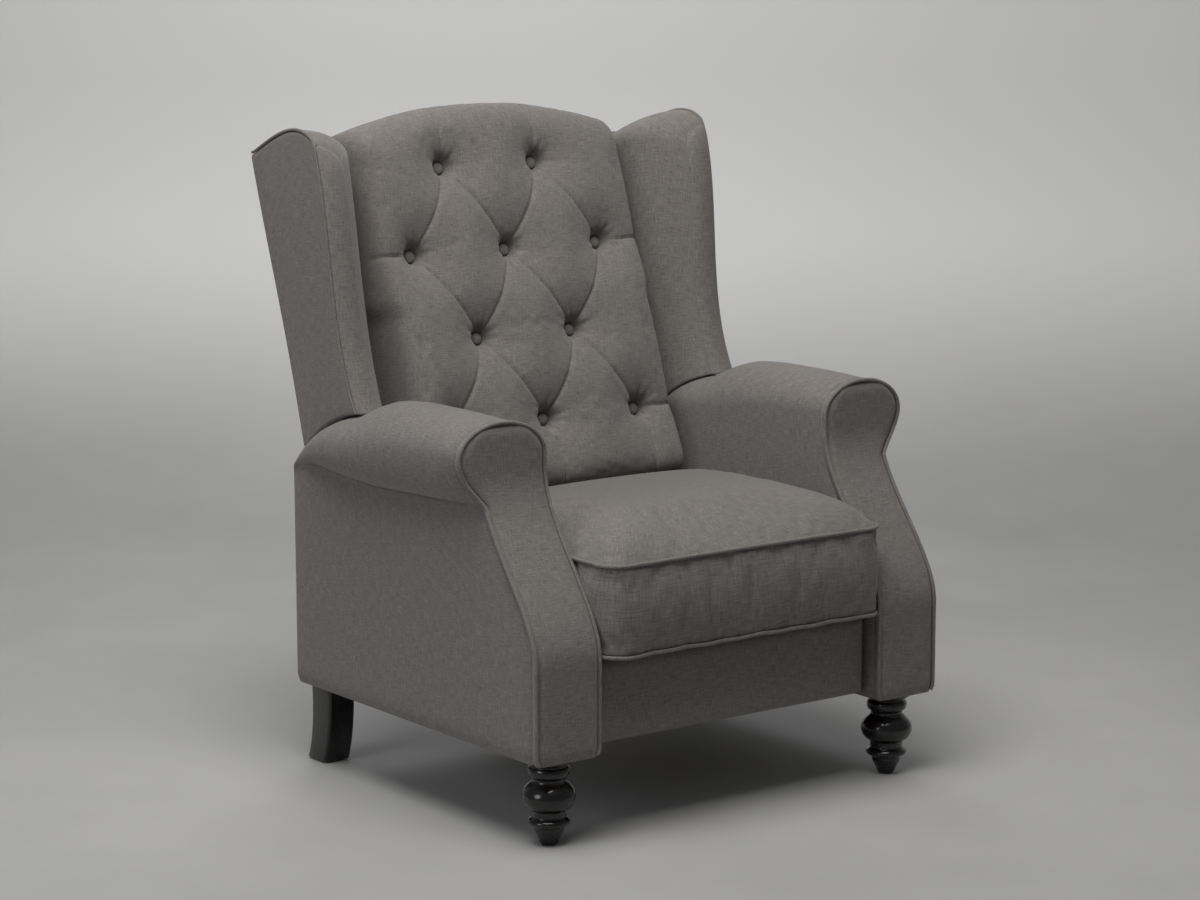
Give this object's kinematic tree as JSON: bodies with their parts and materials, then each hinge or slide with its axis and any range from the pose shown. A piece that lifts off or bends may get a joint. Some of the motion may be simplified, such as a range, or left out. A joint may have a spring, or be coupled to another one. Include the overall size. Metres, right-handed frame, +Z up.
{
  "type": "pushback recliner",
  "caption": "Wing-back recliner with a button-tufted back, rolled arms, box seat cushion and turned front legs; pushing the back down lifts the front panel as a footrest.",
  "frame": {"origin": "on the floor under the middle of the chair's overall box", "axes": "+Z up, -Y to the front of the chair, +X to the side that is on the right when the chair is seen from the front"},
  "size_m": [0.816, 0.7741, 0.9961],
  "materials": {
    "woven_fabric": "woven linen-look upholstery, warm grey",
    "frame_wood": "bare plywood and softwood",
    "dark_wood": "espresso lacquer, semi-gloss",
    "painted_steel": "black powder coat",
    "zinc_steel": "bright zinc plate",
    "glide_nylon": "moulded, plain"
  },
  "bodies": {
    "base": {"arm_frame_left": "frame_wood", "arm_frame_right": "frame_wood", "arm_pad_left": "woven_fabric", "arm_pad_right": "woven_fabric", "arm_facing_left": "woven_fabric", "arm_facing_right": "woven_fabric", "rear_rail": "frame_wood", "rear_panel": "woven_fabric", "base_plate_left": "painted_steel", "base_plate_right": "painted_steel", "base_cross_tube": "painted_steel", "base_rivets": "zinc_steel", "front_leg_left": "dark_wood", "front_leg_right": "dark_wood", "rear_leg_left": "dark_wood", "rear_leg_right": "dark_wood", "leg_bolts": "zinc_steel", "leg_glides": "glide_nylon"},
    "back": {"back_stile_left": "frame_wood", "back_stile_right": "frame_wood", "back_top_rail": "frame_wood", "back_bottom_rail": "frame_wood", "back_springs": "zinc_steel", "back_cushion": "woven_fabric", "back_buttons": "woven_fabric", "wing_left": "woven_fabric", "wing_right": "woven_fabric", "back_panel": "woven_fabric", "back_bracket_left": "painted_steel", "back_bracket_right": "painted_steel", "back_rivets": "zinc_steel"},
    "hanger": {"hanger_left": "painted_steel", "hanger_right": "painted_steel", "hanger_rivets": "zinc_steel"},
    "seat": {"seat_plate_left": "painted_steel", "seat_plate_right": "painted_steel", "seat_front_rail": "frame_wood", "seat_rear_rail": "frame_wood", "seat_springs": "zinc_steel", "seat_cushion": "woven_fabric", "seat_rivets": "zinc_steel"},
    "upper_link": {"upper_link_left": "painted_steel", "upper_link_right": "painted_steel", "upper_link_rivets": "zinc_steel"},
    "lower_link": {"lower_link_left": "painted_steel", "lower_link_right": "painted_steel", "link_torque_tube": "painted_steel", "lower_link_rivets": "zinc_steel"},
    "long_bar": {"long_bar_left": "painted_steel", "long_bar_right": "painted_steel", "long_bar_rivets": "zinc_steel"},
    "slim_bar": {"slim_bar_left": "painted_steel", "slim_bar_right": "painted_steel"},
    "push_rod": {"push_rods": "painted_steel"},
    "footrest": {"footrest_bracket_left": "painted_steel", "footrest_bracket_right": "painted_steel", "footrest_rivets": "zinc_steel", "footrest_board": "frame_wood", "footrest_pad": "woven_fabric"}
  },
  "joints": [
    {"name": "back_recline", "type": "hinge", "parent": "base", "child": "back", "pos_m": [0, 0.065, 0.31], "axis": [-1, 0, 0], "range_deg": [0, 35]},
    {"name": "hanger_swing", "type": "hinge", "parent": "base", "child": "hanger", "pos_m": [0, -0.02, 0.31], "axis": [-1, 0, 0], "range_deg": [0, 35]},
    {"name": "seat_level", "type": "hinge", "parent": "back", "child": "seat", "pos_m": [0, 0.065, 0.21], "axis": [-1, 0, 0], "range_deg": [-35, 0]},
    {"name": "upper_link_swing", "type": "hinge", "parent": "seat", "child": "upper_link", "pos_m": [0, -0.305, 0.28], "axis": [-1, 0, 0], "range_deg": [0, 105]},
    {"name": "lower_link_swing", "type": "hinge", "parent": "seat", "child": "lower_link", "pos_m": [0, -0.235, 0.28], "axis": [-1, 0, 0], "range_deg": [0, 105]},
    {"name": "long_bar_pivot", "type": "hinge", "parent": "upper_link", "child": "long_bar", "pos_m": [0, -0.17065, 0.14565], "axis": [-1, 0, 0], "range_deg": [-105, 0]},
    {"name": "slim_bar_pivot", "type": "hinge", "parent": "upper_link", "child": "slim_bar", "pos_m": [0, -0.18604, 0.18794], "axis": [-1, 0, 0], "range_deg": [-105, 0]},
    {"name": "footrest_pivot", "type": "hinge", "parent": "long_bar", "child": "footrest", "pos_m": [0, -0.285, 0.205], "axis": [-1, 0, 0], "range_deg": [0, 105]},
    {"name": "push_rod_pivot", "type": "hinge", "parent": "hanger", "child": "push_rod", "pos_m": [0, -0.02, 0.16], "axis": [-1, 0, 0], "range_deg": [-35, 0]}
  ],
  "couplings": [
    {"joint": "hanger_swing", "follows": "back_recline", "ratio": 1},
    {"joint": "seat_level", "follows": "back_recline", "ratio": -1},
    {"joint": "upper_link_swing", "follows": "back_recline", "ratio": 3},
    {"joint": "lower_link_swing", "follows": "back_recline", "ratio": 3},
    {"joint": "long_bar_pivot", "follows": "back_recline", "ratio": -3},
    {"joint": "slim_bar_pivot", "follows": "back_recline", "ratio": -3},
    {"joint": "footrest_pivot", "follows": "back_recline", "ratio": 3},
    {"joint": "push_rod_pivot", "follows": "back_recline", "ratio": -0.974}
  ]
}
